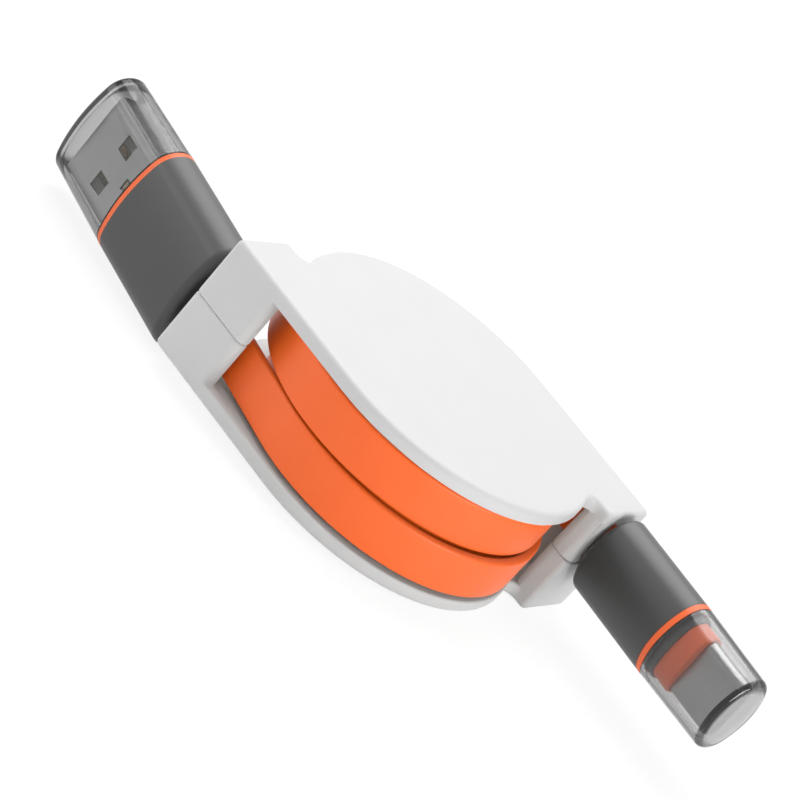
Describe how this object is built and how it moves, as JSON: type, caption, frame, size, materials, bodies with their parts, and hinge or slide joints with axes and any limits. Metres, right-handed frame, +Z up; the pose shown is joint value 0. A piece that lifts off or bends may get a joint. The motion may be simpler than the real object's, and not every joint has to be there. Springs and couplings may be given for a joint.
{
  "type": "retractable charging cable",
  "caption": "Round white case that reels a flat orange cable in on a sprung spool, with a large and a small plug under smoked caps at its ends.",
  "frame": {"origin": "centre of the round case on its flat underside", "axes": "+Z up through the case, from the underside to the top plate; the large plug leaves towards -X and the small plug towards +X"},
  "size_m": [0.107, 0.0434, 0.0216],
  "materials": {
    "case_white": "satin moulded plastic",
    "cable_orange": "soft matte cable jacket",
    "ring_orange": "satin",
    "plug_grey": "soft-touch matte",
    "plug_black": "matte",
    "cap_smoke": "clear smoked plastic",
    "shell_metal": "nickel plated",
    "contact_gold": "gold plated",
    "tongue_white": "moulded",
    "steel": "bright spring steel",
    "spool_plastic": "natural moulding",
    "lock_plastic": "natural moulding"
  },
  "bodies": {
    "case": {"lower_cover": "case_white", "upper_cover": "case_white", "arbor": "steel", "pawl_spring": "steel"},
    "spool": {"spool_drum": "spool_plastic", "spring_cover": "steel", "mainspring": "steel", "cable_coil_lower": "cable_orange", "cable_coil_upper": "cable_orange", "cable_crossover": "cable_orange"},
    "pawl": {"lock_pawl": "lock_plastic"},
    "big_plug": {"big_plug_body": "plug_grey", "big_plug_core": "plug_black", "big_plug_ring": "ring_orange", "big_plug_shell": "shell_metal", "big_plug_tongue": "tongue_white", "big_plug_contacts": "contact_gold", "cable_lead_lower": "cable_orange"},
    "big_cap": {"big_plug_cap": "cap_smoke"},
    "small_plug": {"small_plug_body": "plug_grey", "small_plug_core": "plug_black", "small_plug_ring": "ring_orange", "small_plug_neck": "ring_orange", "small_plug_shell": "shell_metal", "small_plug_tongue": "plug_black", "small_plug_contacts": "contact_gold", "small_plug_latches": "shell_metal", "cable_lead_upper": "cable_orange"},
    "small_cap": {"small_plug_cap": "cap_smoke"}
  },
  "joints": [
    {"name": "big_plug_pull", "type": "slide", "parent": "case", "child": "big_plug", "axis": [-0.9763, 0.2164, 0], "range_m": [0, 0.36], "stiffness_N_per_m": 5, "springref_m": -0.2, "deforming": ["cable_lead_lower"]},
    {"name": "small_plug_pull", "type": "slide", "parent": "case", "child": "small_plug", "axis": [0.9817, -0.182, 0.0558], "range_m": [0, 0.36], "deforming": ["cable_lead_upper"]},
    {"name": "spool_spin", "type": "hinge", "parent": "case", "child": "spool", "pos_m": [0, 0, 0.00865], "axis": [0, 0, 1], "range_deg": [-1081, 1], "deforming": ["mainspring"]},
    {"name": "pawl_swing", "type": "hinge", "parent": "case", "child": "pawl", "pos_m": [0, 0.0071, 0.0045], "axis": [0, 0, 1], "range_deg": [0, 16], "stiffness_Nm_per_rad": 0.00002, "deforming": ["pawl_spring"]},
    {"name": "big_cap_pull", "type": "slide", "parent": "big_plug", "child": "big_cap", "axis": [-0.9763, 0.2164, 0], "range_m": [0, 0.016]},
    {"name": "small_cap_pull", "type": "slide", "parent": "small_plug", "child": "small_cap", "axis": [0.9817, -0.182, 0.0558], "range_m": [0, 0.013]}
  ],
  "couplings": [
    {"joint": "spool_spin", "follows": "big_plug_pull", "rad_per_m": -52.36},
    {"joint": "small_plug_pull", "follows": "big_plug_pull", "ratio": 1}
  ]
}
